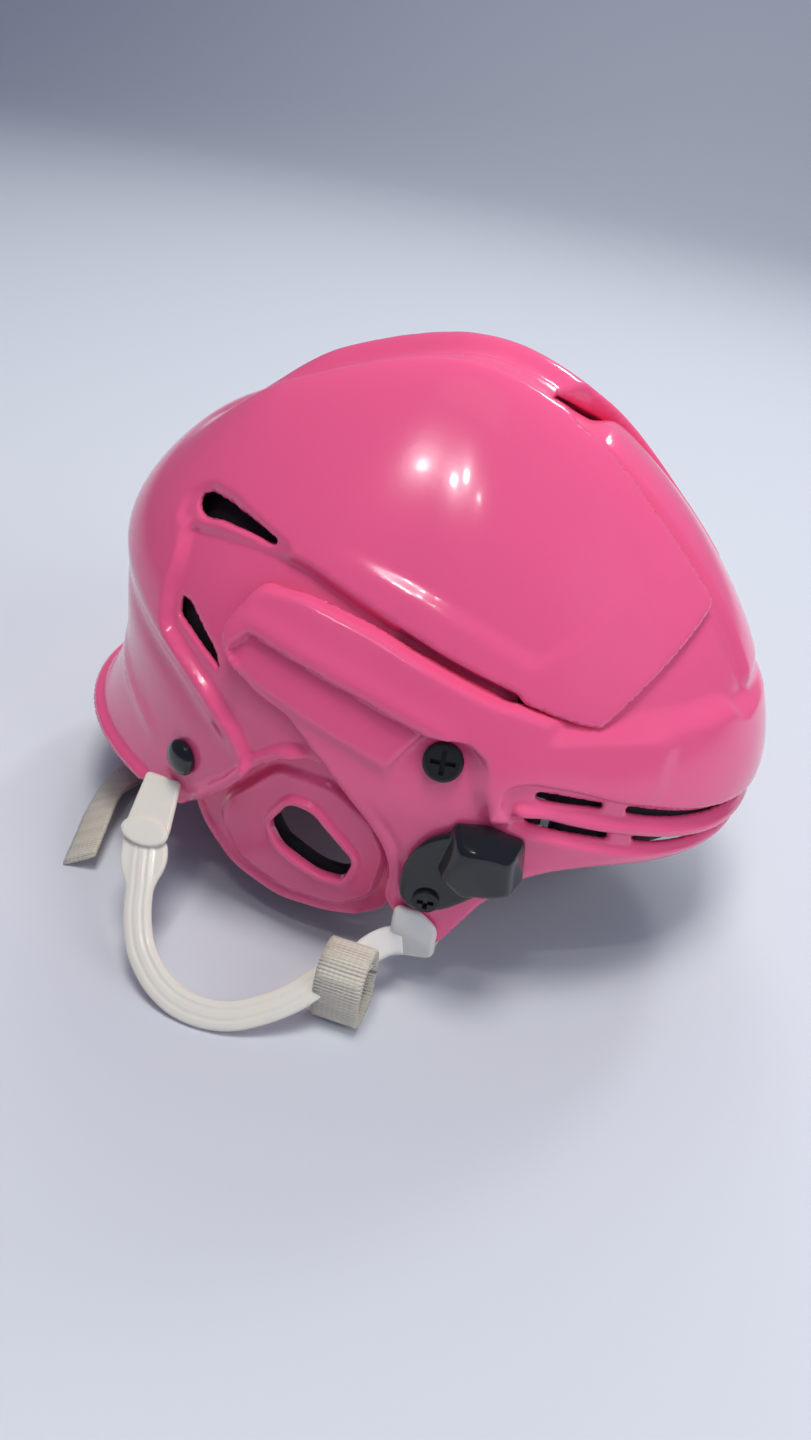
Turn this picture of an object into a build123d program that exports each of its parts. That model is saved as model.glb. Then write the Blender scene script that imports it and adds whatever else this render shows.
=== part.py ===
from build123d import *
import math
import os

# Ice hockey helmet: two moulded shells that telescope for size, ear guards, foam liner,
# face guard clips and straps. +X is the front, +Y the wearer's left, +Z up. The origin is
# at the centre of the footprint, on the surface that the straps rest on.

os.makedirs("parts", exist_ok=True)

# Outer form of the shells
half_width = 97.0
front_reach = 127.0
rear_reach = 119.0
crown_height = 192.0
dome_centre_x = 3.0
front_wide_level = 70.5
side_wide_level = 65.4
rear_wide_level = 113.6
crown_power = 1.55
wide_blend_length = 40.0
settle_passes = 6
nape_flare = 14.0
nape_flare_top = 80.0
nape_rim_level = 37.0
low_shares = (0.0, 0.3, 0.57, 0.79)
rise_shares = (0.0, 0.18, 0.36, 0.53, 0.68, 0.81, 0.91, 0.97)

# Walls and clearances
wall = 2.8
thin_wall = 2.6
ear_wall = 2.2
skin_gap = 0.6
soft_gap = 0.3
seam_gap = 1.2
size_travel = 8.0
cut_over = 30.0

# Levels of the layers, measured out from the outer form
under_skin = -(wall + skin_gap)
tongue_drop = 2.0
tongue_level = under_skin - tongue_drop
valley_level = -4.5
crown_tongue_level = valley_level - wall - skin_gap
pan_drop = 1.0
pan_level = under_skin - pan_drop
ear_flange_level = under_skin - wall - skin_gap
hole_rim_rise = 1.8
bar_rise = 4.0
bar_groove_depth = 2.0
panel_depth = 2.0
rib_rise = 0.6

# Joggle widths, the forehead ledge and seats
joggle_width = 2.8
ledge_level = 97.6
seat_gap = 0.2
head_round_share = 0.35
cross_length_share = 0.62

# Crown valley, in plan
notch_half_width = 19.0
notch_start_x = 30.0
valley_rear_x = -80.0
valley_rear_half_width = 12.0
crown_tongue_start_x = 12.0
crown_tongue_step_x = 46.0
tongue_overlap = 6.0
tongue_start_x = 5.0

# Foam liner
liner_thickness = 13.0
side_liner_thickness = 11.0
ear_foam_thickness = 5.0
crown_pad_half_width = 34.0
crown_pad_rear_x = -70.0
crown_pad_front_x = 0.0
front_crown_pad_end_x = 58.0
temple_pad_thickness = 6.0

# Size screws and their nuts
size_screw_head_radius = 6.4
size_screw_head_height = 3.2
size_screw_radius = 2.4
size_nut_radius = 7.0
size_nut_height = 1.8
screw_clearance = 0.15
slot_clearance = 0.6
cross_width = 1.5
cross_depth = 1.6

# Face guard clips
clip_screw_head_radius = 4.4
clip_screw_head_height = 1.6
clip_screw_radius = 1.9
clip_nut_radius = 4.4
clip_nut_height = 1.2
clip_plate_thickness = 3.0
clip_block_height = 14.0
clip_block_length = 23.0
clip_block_width = 17.0
clip_block_taper = 14.0
clip_block_turn = -14.0
guard_wire_radius = 2.5
guard_socket_top = 4.0
socket_height_share = 0.5

# Ear guard studs
snap_head_radius = 6.2
snap_head_height = 4.6
snap_stem_radius = 1.8
snap_shoulder_radius = 3.0
snap_end_thickness = 1.0

# Ear loops, measured in their own leaning plane
loop_origin = (-66.0, -85.0, 44.8)
loop_normal_share = (0.0, -0.6, 0.8)
loop_span = 85.0
loop_path_shares = ((0.062, -0.41), (0.112, -0.70), (0.47, -0.835), (0.75, -0.72), (0.86, -0.565))
loop_bend_radius = 24.0
loop_band_width = 9.6
loop_thickness = 2.8
tab_shares = ((-0.1, 0.038), (0.059, 0.027), (0.09, -0.21), (-0.09, -0.21))
boss_shares = ((-0.096, -0.217), (0.1, -0.217), (0.137, -0.31), (0.122, -0.42), (0.004, -0.43), (-0.047, -0.37))
button_place_share = (0.005, -0.215)
button_length = 17.0
button_width = 9.0
button_thickness = 2.2
tab_thickness = 2.2
neck_width = 9.0
neck_thickness = 2.4
neck_reach = 1.0
neck_level = 45.9

# Webbing keepers, vinyl anchors and the loose end of the chin strap
webbing_thickness = 1.5
keeper_centre_x = 15.0
keeper_centre_y = -117.0
keeper_width = 16.0
keeper_height = 27.0
keeper_depth = 20.0
keeper_round = 5.0
anchor_thickness = 2.2
anchor_tail_width = 9.0
anchor_tail_height = 20.5
anchor_tail_path_shares = ((0.272, -0.783), (0.272, -0.921), (0.15, -0.921))
anchor_tail_round = 4.0
chin_strap_width = 14.0
chin_strap_path_shares = (
    (0.118, 0.72), (-0.02, 0.58), (-0.24, 0.52), (-0.57, 0.35), (-0.77, 0.06), (-0.85, -0.24),
    (-0.82, -0.49), (-0.764, -0.74),
)
chin_strap_bend_radius = 25.0

forms = {}


def spread(level, grow, along, x):
    """How far out the form is at a height, as a share of its half sizes, towards one direction."""
    front = (1 + math.tanh(x / wide_blend_length)) / 2
    end_level = front * front_wide_level + (1 - front) * rear_wide_level
    wide_level = along * end_level + (1 - along) * side_wide_level
    rise = max(0.0, (level - wide_level) / (crown_height + grow - wide_level))
    return (1 - rise ** crown_power) ** (1 / crown_power)


def flare(level):
    """How far the nape stands out behind the form near its rim."""
    share = (nape_flare_top - level) / (nape_flare_top - nape_rim_level)
    return nape_flare * min(1.0, max(0.0, share)) ** 2


def quarter(level, grow, x_sign, y_sign):
    """One quarter of a section, from its end on the centre line to its side."""
    centre = Vector(dome_centre_x, 0, level)
    reach = (front_reach if x_sign > 0 else rear_reach + flare(level)) + grow
    side = (half_width + grow) * spread(level, grow, 0.0, 0.0)
    end = reach
    for _ in range(settle_passes):
        end = reach * spread(level, grow, 1.0, x_sign * end)
    slant = math.hypot(end / reach, side / (half_width + grow))
    middle = math.sqrt(1 / 2)
    for _ in range(settle_passes):
        middle = spread(level, grow, end / math.hypot(end, side), x_sign * middle * end) / slant
    pull = (8 * middle - 4) / 3
    tip = Vector(x_sign * end, 0, 0)
    flank = Vector(0, y_sign * side, 0)
    return Bezier(centre + tip, centre + tip + flank * pull, centre + flank + tip * pull, centre + flank)


def section(level, grow):
    return Wire([quarter(level, grow, x_sign, y_sign) for x_sign, y_sign in ((1, 1), (-1, 1), (-1, -1), (1, -1))])


def form(grow):
    """The solid helmet form without features, grown or shrunk by grow."""
    if grow not in forms:
        top = crown_height + grow
        levels = [share * side_wide_level for share in low_shares]
        levels += [side_wide_level + share * (top - side_wide_level) for share in rise_shares]
        sections = [section(level, grow) for level in levels]
        forms[grow] = Solid.make_loft([*sections, Vertex(dome_centre_x, 0, top)], ruled=False)
    return forms[grow]


def side_points(shares):
    """Places in side view, from shares of the front reach and of the crown height."""
    return [(share_x * front_reach, share_z * crown_height) for share_x, share_z in shares]


def outline(shares):
    """A closed side view outline."""
    return make_face(Polyline(*side_points(shares), close=True))


def through(face):
    """Cut a side view outline through the whole width."""
    return extrude(Plane.XZ * face, amount=half_width + cut_over, both=True)


def plan_zone(points, low=side_wide_level):
    """A plan view outline from one height to over the crown."""
    face = Plane.XY.offset(low) * make_face(Polyline(*points, close=True))
    return extrude(face, amount=crown_height + cut_over - low)


def plan_strip(start_x, end_x, half):
    """A plan zone along the centre line."""
    return plan_zone([(start_x, -half), (end_x, -half), (end_x, half), (start_x, half)])


def seat(place_share, level):
    """A plane on the right side of the form: z points out, x points forwards."""
    (x, z), = side_points([place_share])
    hits = form(level).find_intersection_points(Axis((x, 0, z), (0, -1, 0)))
    point, normal = max(hits, key=lambda hit: -hit[0].Y)
    outwards = normal if normal.Y < 0 else -normal
    forwards = Vector(0, 0, 1).cross(outwards)
    return Plane(origin=point, x_dir=forwards if forwards.X > 0 else -forwards, z_dir=outwards)


def disc(plane, radius, low, high):
    """A round between two heights over a plane."""
    return extrude(plane.offset(low) * Circle(radius), amount=high - low)


def mirrored(part):
    return mirror(part, about=Plane.XZ)


def both_sides(part):
    return [part, mirrored(part)]


def save(part, name):
    solids = part.solids()
    whole = Compound(children=list(solids)) if len(solids) > 1 else solids[0]
    whole.label = name
    export_step(whole, f"parts/{name}.step")


def save_pair(part, name):
    """Write the right piece and its mirror image."""
    save(part, f"{name}_right")
    save(mirrored(part), f"{name}_left")


# Outlines in side view, as shares of the front reach and of the crown height
band_shares = (
    (0.303, 0.091), (0.394, 0.202), (0.477, 0.258), (0.614, 0.286), (1.118, 0.240), (1.118, 0.526),
    (0.787, 0.518), (0.575, 0.525), (0.002, 0.633), (-0.311, 0.656), (-0.378, 0.589),
    (-0.280, 0.495), (-0.176, 0.476), (0.114, 0.312), (0.153, 0.240), (0.146, 0.177),
    (0.201, 0.135), (0.236, 0.091),
)
bar_shares = (
    (-0.303, 0.651), (-0.366, 0.589), (-0.276, 0.500), (0.314, 0.403), (0.409, 0.438),
    (0.441, 0.536), (0.002, 0.628),
)
bar_groove_shares = (
    (-0.283, 0.589), (-0.299, 0.552), (-0.260, 0.526), (0.110, 0.461), (0.126, 0.510),
)
screw_pocket_shares = (
    (0.150, 0.448), (0.268, 0.419), (0.339, 0.448), (0.315, 0.505), (0.189, 0.526),
)
ledge_shares = (
    (0.551, 0.508), (1.118, 0.508), (1.118, 0.526), (0.787, 0.518), (0.575, 0.525), (0.551, 0.530),
)
upper_forehead_shares = (
    (0.520, 0.508), (1.118, 0.508), (1.118, 1.068), (0.693, 1.068), (0.693, 0.698),
)
slot_panel_shares = (
    (0.417, 0.438), (0.693, 0.404), (1.118, 0.318), (1.118, 0.250), (0.693, 0.323), (0.433, 0.367),
)
slot_rib_shares = (
    (0.457, 0.414), (0.693, 0.372), (1.118, 0.286), (1.118, 0.267), (0.693, 0.352), (0.457, 0.395),
)
slot_shares = (
    (
        (0.468, 0.440), (0.622, 0.416), (0.622, 0.398), (0.468, 0.422),
    ),
    (
        (0.681, 0.404), (0.992, 0.339), (0.992, 0.321), (0.681, 0.385),
    ),
    (
        (0.454, 0.392), (0.654, 0.356), (0.654, 0.339), (0.454, 0.374),
    ),
    (
        (0.717, 0.345), (0.953, 0.295), (0.953, 0.278), (0.717, 0.328),
    ),
)
rear_shares = (
    (-0.476, 0.193), (-0.264, 0.346), (-0.115, 0.395), (0.047, 0.419), (0.362, 0.419),
    (0.362, 0.576), (0.570, 0.535), (0.882, 0.781), (0.882, 1.068), (-1.181, 1.068),
    (-1.181, 0.193),
)
bed_shares = (
    (-0.303, 0.260), (-0.488, 0.438), (-0.583, 0.562), (-0.598, 0.698), (-0.268, 0.703),
    (0.139, 0.619), (0.472, 0.554), (0.472, 0.260),
)
vent_shares = (
    (
        (-0.567, 0.724), (-0.465, 0.740), (-0.303, 0.719), (-0.303, 0.704), (-0.551, 0.699),
    ),
    (
        (-0.551, 0.573), (-0.531, 0.531), (-0.417, 0.497),
    ),
)
ear_guard_shares = (
    (-0.520, 0.333), (-0.520, 0.260), (-0.411, 0.157), (-0.316, 0.103), (-0.163, 0.076),
    (-0.013, 0.083), (0.112, 0.103), (0.161, 0.141), (0.161, 0.271), (0.079, 0.365),
    (0.016, 0.414), (-0.236, 0.414), (-0.362, 0.333),
)
pan_shares = (
    (-0.328, 0.250), (-0.350, 0.198), (-0.283, 0.138), (-0.142, 0.112), (0.024, 0.117),
    (0.106, 0.167), (0.122, 0.260), (0.063, 0.318), (-0.031, 0.362), (-0.189, 0.359),
)
ear_hole_shares = (
    (-0.198, 0.244), (-0.142, 0.305), (-0.079, 0.305), (0.051, 0.229), (0.028, 0.177),
    (-0.047, 0.174), (-0.157, 0.203),
)
ear_foam_shares = (
    (-0.299, 0.240), (-0.315, 0.198), (-0.260, 0.151), (-0.142, 0.128), (0.008, 0.133),
    (0.087, 0.177), (0.098, 0.255), (0.047, 0.302), (-0.039, 0.344), (-0.173, 0.344),
)
front_pad_shares = (
    (0.504, 0.281), (1.118, 0.281), (1.118, 0.497), (0.504, 0.497),
)
upper_front_pad_shares = (
    (0.551, 0.526), (1.118, 0.526), (1.118, 1.068), (0.598, 1.068),
)
side_pad_shares = (
    (-0.488, 0.500), (-0.157, 0.438), (0.346, 0.438), (0.346, 0.562), (-0.157, 0.667),
    (-0.441, 0.667),
)
rear_pad_shares = (
    (-1.181, 0.302), (-0.559, 0.302), (-0.646, 0.500), (-0.677, 0.781), (-1.181, 0.781),
)
temple_pad_shares = (
    (0.244, 0.195), (0.370, 0.195), (0.409, 0.234), (0.488, 0.292), (0.488, 0.385), (0.394, 0.385),
    (0.244, 0.312),
)
clip_plate_shares = (
    (0.291, 0.359), (0.228, 0.333), (0.185, 0.276), (0.185, 0.208), (0.220, 0.180), (0.299, 0.185),
    (0.394, 0.234), (0.409, 0.344),
)
anchor_shares = (
    (0.183, 0.180), (0.248, 0.172), (0.303, 0.135), (0.303, 0.073), (0.201, 0.068), (0.183, 0.083),
)
anchor_fold_level = 16.8
snap_share = (-0.477, 0.298)
size_screw_share = (0.230, 0.468)
clip_screw_share = (0.260, 0.211)
clip_block_share = (0.374, 0.299)


def beyond(zone, level):
    """What a zone holds outside one level of the form."""
    return zone - form(level)


def within(zone, outer, inner):
    """A layer of the form inside a zone."""
    return (zone & form(outer)) - form(inner)


def right(face):
    """Cut a side view outline through the wearer's right half only."""
    return extrude(Plane.XZ * face, amount=half_width + cut_over)


def size_screw_slot(level, radius, height):
    """A slot along the size travel, at a level under the size screw, on both sides."""
    face = screw_plane.offset(level) * Pos(-size_travel / 2, 0) * SlotCenterToCenter(size_travel, 2 * radius)
    return extrude(face, amount=height / 2, both=True)


def build_front_shell(holes):
    """Forehead band, side arms with the raised bars, and the tongue under the crown lobes."""
    overlap_half = notch_half_width + tongue_overlap
    step_end = crown_tongue_step_x + joggle_width
    upper_zone = through(outline(upper_forehead_shares)) + (
        plan_strip(crown_tongue_step_x, front_reach + cut_over, overlap_half) & plan_block(ledge_level))
    step_zone = plan_strip(crown_tongue_step_x, step_end, overlap_half)
    lower_zone = plan_strip(crown_tongue_start_x, crown_tongue_step_x, overlap_half)
    pieces = [
        within(through(outline(band_shares)), 0.0, -wall),
        within(upper_zone, under_skin, under_skin - thin_wall),
        within(through(outline(ledge_shares)), 0.0, under_skin - thin_wall),
        within(lower_zone, crown_tongue_level, crown_tongue_level - thin_wall),
        within(step_zone, under_skin, crown_tongue_level - thin_wall),
        within(through(outline(bar_shares)), bar_rise, -wall),
    ]
    shell = pieces[0].fuse(*pieces[1:])
    rib = within(through(outline(slot_rib_shares)), rib_rise, -wall)
    cuts = [
        beyond(through(outline(bar_groove_shares)), bar_rise - bar_groove_depth),
        beyond(through(outline(screw_pocket_shares)), 0.0),
        beyond(through(outline(slot_panel_shares)) - through(outline(slot_rib_shares)), -panel_depth),
    ]
    cuts += [through(outline(shares)) for shares in slot_shares]
    return shell.fuse(rib).cut(*cuts, *holes)


def plan_block(low):
    """Everything above one height."""
    return Pos(0, 0, low + crown_height) * Box(4 * front_reach, 4 * half_width, 2 * crown_height)


def side_block(start_x, end_x):
    """Everything between two planes across the helmet."""
    middle = Pos((start_x + end_x) / 2, 0, 0)
    return middle * Box(end_x - start_x, 4 * half_width, 4 * crown_height)


def build_rear_shell(holes):
    """Crown lobes, nape and the recessed beds that the front shell's arms slide over."""
    bed_face = outline(bed_shares)
    wide_bed = through(offset(bed_face, joggle_width, kind=Kind.INTERSECTION))
    bed = through(bed_face)
    bed_end = front_reach + cut_over
    front_block = side_block(tongue_start_x, bed_end)
    wide_front_block = side_block(tongue_start_x - joggle_width, bed_end)
    valley = valley_zone(0.0)
    notch = plan_strip(notch_start_x - seam_gap, bed_end, notch_half_width)
    outer = (through(outline(rear_shares)) & form(0.0)).cut(
        beyond(bed, under_skin), beyond(bed & front_block, tongue_level), beyond(valley, valley_level), notch)
    inner = form(-wall).cut(
        beyond(wide_bed, under_skin - wall), beyond(wide_bed & wide_front_block, tongue_level - wall),
        beyond(valley_zone(joggle_width), valley_level - wall))
    vents = [through(outline(shares)) for shares in vent_shares]
    return outer.cut(inner, *vents, *holes)


def valley_zone(margin):
    rear_half = valley_rear_half_width + margin
    front_half = notch_half_width + margin
    rear_x = valley_rear_x - margin
    return plan_zone([(rear_x, -rear_half), (notch_start_x, -front_half), (notch_start_x, front_half),
                      (rear_x, rear_half)])


def build_ear_guard(hole):
    """Flange behind the shells, raised pan and a thick rim round the ear hole."""
    pan_face = outline(pan_shares)
    hole_face = outline(ear_hole_shares)
    hole_rim = right(offset(hole_face, ear_wall, kind=Kind.INTERSECTION))
    inner_pan = right(offset(pan_face, -ear_wall, kind=Kind.INTERSECTION))
    flange = right(outline(ear_guard_shares)) & form(ear_flange_level)
    outer = flange.fuse(right(pan_face) & form(pan_level), hole_rim & form(pan_level + hole_rim_rise))
    inner = form(ear_flange_level - ear_wall).fuse(inner_pan & form(pan_level - ear_wall))
    return outer.cut(inner, right(hole_face), hole)


def build_ear_foam():
    ring = right(outline(ear_foam_shares)) - right(outline(ear_hole_shares))
    level = ear_flange_level - ear_wall - soft_gap
    return within(ring, level, level - ear_foam_thickness)


def build_screw(plane, head_radius, head_height, radius, length):
    """Round headed screw with a cross recess, its head seated on the plane."""
    head = disc(plane, head_radius, 0.0, head_height)
    rim = head.edges().filter_by(GeomType.CIRCLE).sort_by(Axis(plane.origin, plane.z_dir))[-1]
    head = fillet(rim, head_height * head_round_share)
    arm = head_radius * cross_length_share
    cross_face = plane.offset(head_height) * (Rectangle(2 * arm, cross_width) + Rectangle(cross_width, 2 * arm))
    return head + disc(plane, radius, -length, 0.0) - extrude(cross_face, amount=-cross_depth)


def build_nut(plane, radius, height, bore, level):
    """Flanged nut with its outer face at a level under the plane."""
    return disc(plane, radius, level - height, level) - disc(plane, bore, level - height, level)


def build_snap():
    """Domed stud with a shoulder between the shell and the ear guard, and a clinched end."""
    ball = (snap_head_radius ** 2 + snap_head_height ** 2) / (2 * snap_head_height)
    centre = snap_plane.origin + snap_plane.z_dir * (snap_head_height - ball)
    head = Pos(*centre) * Sphere(ball) & disc(snap_plane, snap_head_radius, seat_gap, snap_head_height)
    end_level = ear_flange_level - ear_wall - seat_gap
    return head.fuse(
        disc(snap_plane, snap_stem_radius, end_level, seat_gap),
        disc(snap_plane, snap_shoulder_radius, ear_flange_level + seat_gap, -wall - seat_gap),
        disc(snap_plane, snap_shoulder_radius, end_level - snap_end_thickness, end_level))


def build_clip():
    """A plate that follows the temple and a faceted block with a socket for the guard's wire."""
    plate = within(right(outline(clip_plate_shares)), seat_gap + clip_plate_thickness, seat_gap)
    turned = clip_plane.rotated((0, 0, clip_block_turn))
    base = turned.offset(-clip_plate_thickness) * Rectangle(clip_block_length, clip_block_width)
    block = extrude(base, amount=clip_block_height + clip_plate_thickness, taper=clip_block_taper)
    mouth = clip_plane.origin + clip_plane.z_dir * clip_block_height * socket_height_share
    start = mouth.Z - clip_block_width
    socket = Plane(origin=(mouth.X, mouth.Y, start)) * Circle(guard_wire_radius)
    clip = plate + (block - form(seat_gap))
    screw_hole = disc(clip_screw_plane, clip_screw_radius + screw_clearance, -cut_over, cut_over)
    return clip.cut(extrude(socket, amount=clip_block_width + guard_socket_top), screw_hole)


def on_loop(shares):
    """A closed outline in the plane of the ear loop."""
    return loop_plane * make_face(Polyline(*((x * loop_span, y * loop_span) for x, y in shares), close=True))


def strap_neck(gap):
    """The end of the tab that hooks through the nape wall, or its slot with a gap all round."""
    plane = seat((loop_origin[0] / front_reach, neck_level / crown_height), 0.0)
    face = plane.offset(-wall - neck_thickness) * Rectangle(neck_width + 2 * gap, neck_thickness + 2 * gap)
    return extrude(face, amount=wall + neck_thickness + neck_reach)


def build_strap_tab():
    plate = extrude(on_loop(tab_shares), amount=tab_thickness / 2, both=True)
    return (plate - form(soft_gap)) + strap_neck(0.0)


def build_ear_loop():
    """Moulded loop: a wide end with an oval button over the tab, and a flat band round the ear."""
    boss = extrude(on_loop(boss_shares), amount=loop_thickness / 2, both=True)
    place_x, place_y = (share * loop_span for share in button_place_share)
    button_face = loop_plane.offset(loop_thickness / 2) * Pos(place_x, place_y) * Ellipse(
        button_length / 2, button_width / 2)
    path = loop_plane * FilletPolyline(*((x * loop_span, y * loop_span) for x, y in loop_path_shares),
                                       radius=loop_bend_radius)
    band_plane = Plane(origin=path @ 0, x_dir=loop_plane.z_dir, z_dir=path % 0)
    band = sweep(band_plane * Rectangle(loop_thickness, loop_band_width), path=path)
    loop = boss.fuse(extrude(button_face, amount=button_thickness), band)
    return (loop & plan_block(0.0)) - build_keeper(soft_gap)


def build_keeper(margin):
    """Woven keeper: a flat ring of webbing that stands on the surface."""
    plane = Plane(origin=(keeper_centre_x, keeper_centre_y, keeper_height / 2), x_dir=(0, 1, 0), z_dir=(1, 0, 0))
    outer = RectangleRounded(keeper_depth + 2 * margin, keeper_height + 2 * margin, keeper_round)
    gap = 2 * (webbing_thickness + margin)
    inner = RectangleRounded(keeper_depth - gap, keeper_height - gap, keeper_round - webbing_thickness)
    return extrude(plane * (outer - inner), amount=keeper_width / 2, both=True)


def build_anchor():
    """Vinyl end of the loop, folded round the temple tip, with a tail that runs into the keeper."""
    wrap = right(outline(anchor_shares))
    under = wrap - plan_block(anchor_fold_level)
    cheek = -wall - seat_gap
    outer = within(wrap, seat_gap + anchor_thickness, seat_gap)
    inner = within(wrap, cheek, cheek - anchor_thickness)
    fold = within(under, seat_gap + anchor_thickness, cheek - anchor_thickness)
    points = [(x * front_reach, y * front_reach, anchor_tail_height) for x, y in anchor_tail_path_shares]
    path = FilletPolyline(*points, radius=anchor_tail_round)
    tail_plane = Plane(origin=path @ 0, x_dir=(0, 0, 1), z_dir=path % 0)
    tail = sweep(tail_plane * Rectangle(anchor_tail_width, webbing_thickness), path=path)
    return outer.fuse(inner, fold, tail - form(seat_gap))


def build_chin_strap():
    """Free end of the webbing, which lies on the surface under the helmet and out past the nape."""
    corner_y = keeper_round - keeper_centre_y - keeper_depth / 2
    corner_reach = ((keeper_round + soft_gap) ** 2 - (keeper_round - webbing_thickness) ** 2) ** 0.5
    points = [(x * front_reach, y * front_reach) for x, y in chin_strap_path_shares]
    path = FilletPolyline((keeper_centre_x, corner_y - corner_reach), *points, radius=chin_strap_bend_radius)
    start = Plane(origin=path @ 0, x_dir=(0, 0, 1), z_dir=path % 0)
    strip = sweep(start * Rectangle(webbing_thickness, chin_strap_width), path=path)
    return Pos(0, 0, webbing_thickness / 2) * strip


loop_plane = Plane(origin=loop_origin, x_dir=(1, 0, 0), z_dir=loop_normal_share)
screw_plane = seat(size_screw_share, seat_gap / 2)
clip_screw_plane = seat(clip_screw_share, 2 * seat_gap + clip_plate_thickness)
clip_plane = seat(clip_block_share, 0.0)
snap_plane = seat(snap_share, 0.0)

size_nut_level = tongue_level - wall - skin_gap
nut_travel_room = size_nut_radius + slot_clearance
nut_travel_drift = size_travel * abs(screw_plane.z_dir.X)
nut_pocket = size_screw_slot(size_nut_level, nut_travel_room, 2 * (size_nut_height + nut_travel_drift + soft_gap))
clip_nut_level = -clip_plate_thickness - wall - 3 * seat_gap

size_screw_hole = disc(screw_plane, size_screw_radius + screw_clearance, -cut_over, cut_over)
clip_screw_hole = disc(clip_screw_plane, clip_screw_radius + screw_clearance, -cut_over, cut_over)
snap_hole = disc(snap_plane, snap_stem_radius + screw_clearance, -cut_over, cut_over)
screw_slot = size_screw_slot(tongue_level, size_screw_radius + slot_clearance, cut_over)
neck_slot = strap_neck(soft_gap)

save(build_front_shell([*both_sides(size_screw_hole), *both_sides(clip_screw_hole)]), "front_shell")
save(build_rear_shell([*both_sides(screw_slot), *both_sides(snap_hole), *both_sides(neck_slot)]), "rear_shell")
save_pair(build_ear_guard(snap_hole), "ear_guard")
save_pair(build_ear_foam(), "ear_foam")
save_pair(build_snap(), "ear_guard_stud")

size_screw_length = size_nut_height - size_nut_level
save_pair(build_screw(screw_plane, size_screw_head_radius, size_screw_head_height, size_screw_radius,
                      size_screw_length), "size_screw")
save_pair(build_nut(screw_plane, size_nut_radius, size_nut_height, size_screw_radius + screw_clearance,
                    size_nut_level), "size_nut")
clip_screw_length = clip_nut_height - clip_nut_level
save_pair(build_clip(), "guard_clip")
save_pair(build_screw(clip_screw_plane, clip_screw_head_radius, clip_screw_head_height, clip_screw_radius,
                      clip_screw_length), "clip_screw")
save_pair(build_nut(clip_screw_plane, clip_nut_radius, clip_nut_height, clip_screw_radius + screw_clearance,
                    clip_nut_level), "clip_nut")

shell_liner = -wall - soft_gap
front_liner = under_skin - thin_wall - soft_gap
save(within(through(outline(front_pad_shares)), shell_liner, shell_liner - liner_thickness), "front_pad")
save(within(through(outline(upper_front_pad_shares)), front_liner, front_liner - liner_thickness),
     "upper_front_pad")
crown_tongue_liner = crown_tongue_level - thin_wall - soft_gap
save(within(plan_strip(crown_tongue_start_x, front_crown_pad_end_x, notch_half_width + tongue_overlap),
            crown_tongue_liner, crown_tongue_liner - liner_thickness), "front_crown_pad")
crown_liner = valley_level - wall - soft_gap
save(within(plan_strip(crown_pad_rear_x, crown_pad_front_x, crown_pad_half_width), crown_liner,
            crown_liner - liner_thickness), "crown_pad")
side_liner = tongue_level - wall - soft_gap
save_pair(within(right(outline(side_pad_shares)), side_liner, side_liner - side_liner_thickness) - nut_pocket,
          "side_pad")
save(within(through(outline(rear_pad_shares)), shell_liner, shell_liner - liner_thickness), "rear_pad")
temple_liner = -wall - clip_nut_height - 4 * seat_gap
save_pair(within(right(outline(temple_pad_shares)), temple_liner, temple_liner - temple_pad_thickness),
          "temple_pad")

save_pair(build_strap_tab(), "strap_tab")
save_pair(build_ear_loop(), "ear_loop")
save_pair(build_keeper(0.0), "strap_keeper")
save_pair(build_anchor(), "strap_anchor")
save(build_chin_strap(), "chin_strap")
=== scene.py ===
import math

import bmesh
import bpy
import numpy as np
import openvdb as vdb
from mathutils import Matrix, Vector


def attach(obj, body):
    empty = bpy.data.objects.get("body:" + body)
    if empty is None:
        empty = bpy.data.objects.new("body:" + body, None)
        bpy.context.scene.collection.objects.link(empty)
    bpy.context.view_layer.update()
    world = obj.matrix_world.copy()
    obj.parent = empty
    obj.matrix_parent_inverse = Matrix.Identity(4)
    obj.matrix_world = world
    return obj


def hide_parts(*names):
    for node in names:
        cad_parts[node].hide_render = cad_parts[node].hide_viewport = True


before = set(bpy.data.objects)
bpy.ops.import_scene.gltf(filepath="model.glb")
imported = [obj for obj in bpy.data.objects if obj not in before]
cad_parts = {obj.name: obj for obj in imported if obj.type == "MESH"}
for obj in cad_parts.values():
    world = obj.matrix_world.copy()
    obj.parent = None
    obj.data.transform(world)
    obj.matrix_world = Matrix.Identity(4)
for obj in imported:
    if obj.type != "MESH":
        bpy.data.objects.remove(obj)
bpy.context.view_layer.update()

# An ice hockey helmet. Its shapes are smooth fields in millimetres, below zero inside a piece. +X is the
# front and -Y the wearer's right. A level is a height over the helmet's outer form, negative under it.

MM = 0.001

# Parts of fields


def smoothstep(t):
    t = np.clip(t, 0.0, 1.0)
    return t * t * (3 - 2 * t)


def rise(value, start, end):
    """Nothing on the side of start, one from end on, soft between them. End may be the lower one."""
    return smoothstep((value - start) / (end - start))


def ridge(value, middle, width):
    """One where a value is at its middle, fading on both sides."""
    return np.exp(-((value - middle) / width) ** 2)


def mix(a, b, t):
    return a + (b - a) * t


def smooth_max(a, b, k):
    h = np.clip(0.5 + 0.5 * (a - b) / k, 0.0, 1.0)
    return mix(b, a, h) + k * h * (1 - h)


def smooth_min(a, b, k):
    return -smooth_max(-a, -b, k)


# The helmet's outer form: half sizes, and the heights at which its front, back and sides are widest

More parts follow.
